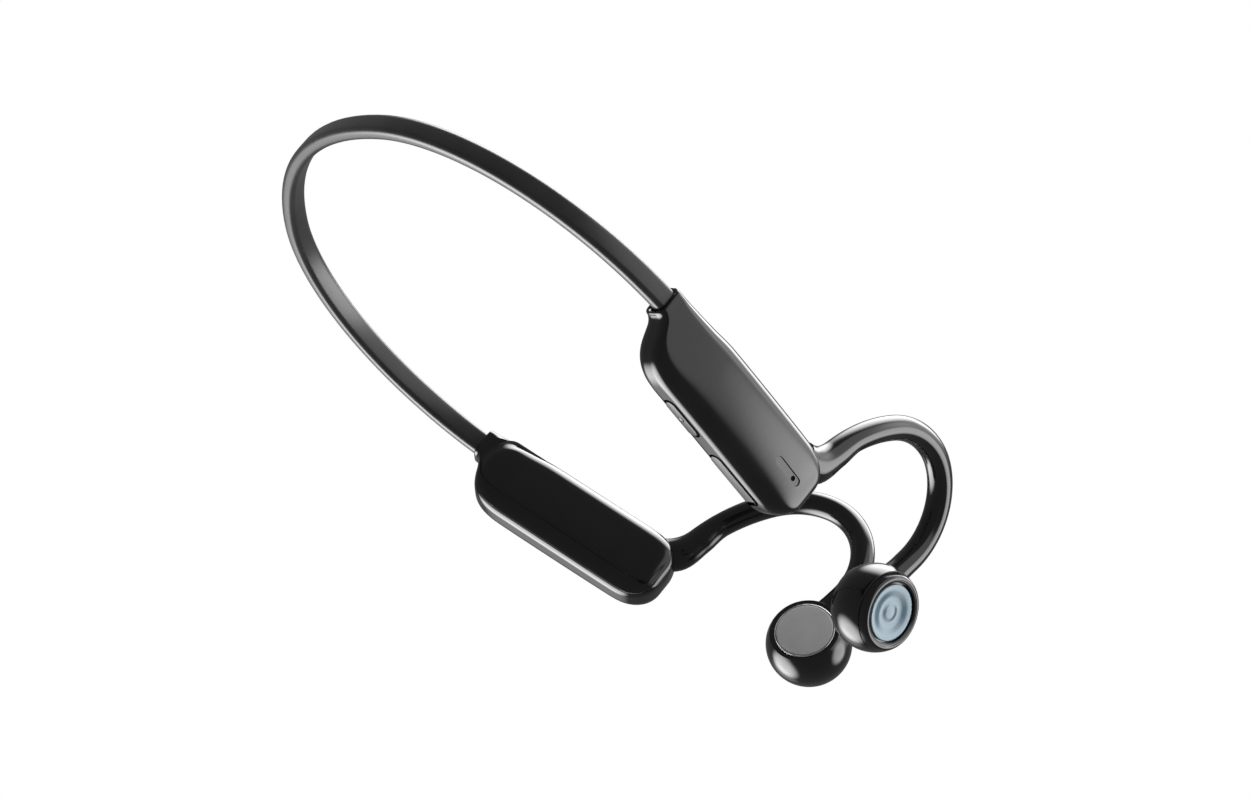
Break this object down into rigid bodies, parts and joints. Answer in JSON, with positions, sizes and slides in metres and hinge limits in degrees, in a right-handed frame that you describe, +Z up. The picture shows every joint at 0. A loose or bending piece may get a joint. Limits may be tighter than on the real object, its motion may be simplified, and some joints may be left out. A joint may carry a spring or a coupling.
{
  "type": "bone conduction headphones",
  "caption": "Open-ear bone conduction headset: springy neckband, two side pods, ear hooks and round transducer buds that rest in front of the ears.",
  "frame": {"origin": "under the middle of the headset, on the surface that the pods stand on", "axes": "+Z up as worn, +Y forward, +X to the wearer's right"},
  "size_m": [0.1322, 0.1514, 0.0416],
  "materials": {
    "strap": "satin soft-touch black",
    "gloss_shell": "glossy black",
    "memory_wire": "drawn alloy wire",
    "cable": "thin insulation",
    "seal": "soft rubber",
    "flap": "satin rubber",
    "button": "satin black",
    "steel": "bare steel",
    "board": "green solder mask",
    "chip": "moulded black",
    "light": "smoked window",
    "mesh": "fine woven mesh",
    "clamp": "glass-filled nylon",
    "cell": "laminated foil",
    "foam": "closed-cell foam",
    "blue_metal": "polished blue-silver",
    "grey_pad": "matte grey silicone",
    "bright_ring": "polished",
    "magnet": "nickel plate",
    "copper": "enamelled winding"
  },
  "bodies": {
    "headset": {"battery_board": "board", "battery_cell": "cell", "battery_pad": "foam", "board_chips": "chip", "board_screws": "steel", "button_seal": "seal", "charging_socket": "steel", "left_band_clamp": "clamp", "left_bud_bezel": "gloss_shell", "left_bud_dish": "blue_metal", "left_bud_shell": "gloss_shell", "left_contact_pad": "grey_pad", "left_cover_gasket": "seal", "left_hook_clamp": "clamp", "left_hook_leads": "cable", "left_hook_sleeve": "gloss_shell", "left_hook_wire": "memory_wire", "left_inner_cover": "gloss_shell", "left_magnet": "magnet", "left_outer_cover": "gloss_shell", "left_pad_ring": "bright_ring", "left_spring_plate": "steel", "left_transducer_frame": "clamp", "left_voice_coil": "copper", "left_yoke": "steel", "light_pipe": "light", "main_board": "board", "microphone": "steel", "microphone_mesh": "mesh", "neckband_leads": "cable", "neckband_sleeve": "strap", "neckband_wire": "memory_wire", "port_cover_pin": "steel", "power_switch": "chip", "right_band_clamp": "clamp", "right_bud_bezel": "gloss_shell", "right_bud_dish": "blue_metal", "right_bud_shell": "gloss_shell", "right_contact_pad": "grey_pad", "right_cover_gasket": "seal", "right_hook_clamp": "clamp", "right_hook_leads": "cable", "right_hook_sleeve": "gloss_shell", "right_hook_wire": "memory_wire", "right_inner_cover": "gloss_shell", "right_magnet": "magnet", "right_outer_cover": "gloss_shell", "right_pad_ring": "bright_ring", "right_spring_plate": "steel", "right_transducer_frame": "clamp", "right_voice_coil": "copper", "right_yoke": "steel"},
    "power_button": {"power_button": "button"},
    "port_cover": {"port_cover": "flap"}
  },
  "joints": [
    {"name": "power_button_press", "type": "slide", "parent": "headset", "child": "power_button", "axis": [0, 0, 1], "range_m": [0, 0.0004], "stiffness_N_per_m": 1500, "springref_m": -0.0002},
    {"name": "port_cover_hinge", "type": "hinge", "parent": "headset", "child": "port_cover", "pos_m": [0.04992, 0.02162, 0.00055], "axis": [-0.9205, -0.3907, 0], "range_deg": [0, 95]}
  ]
}
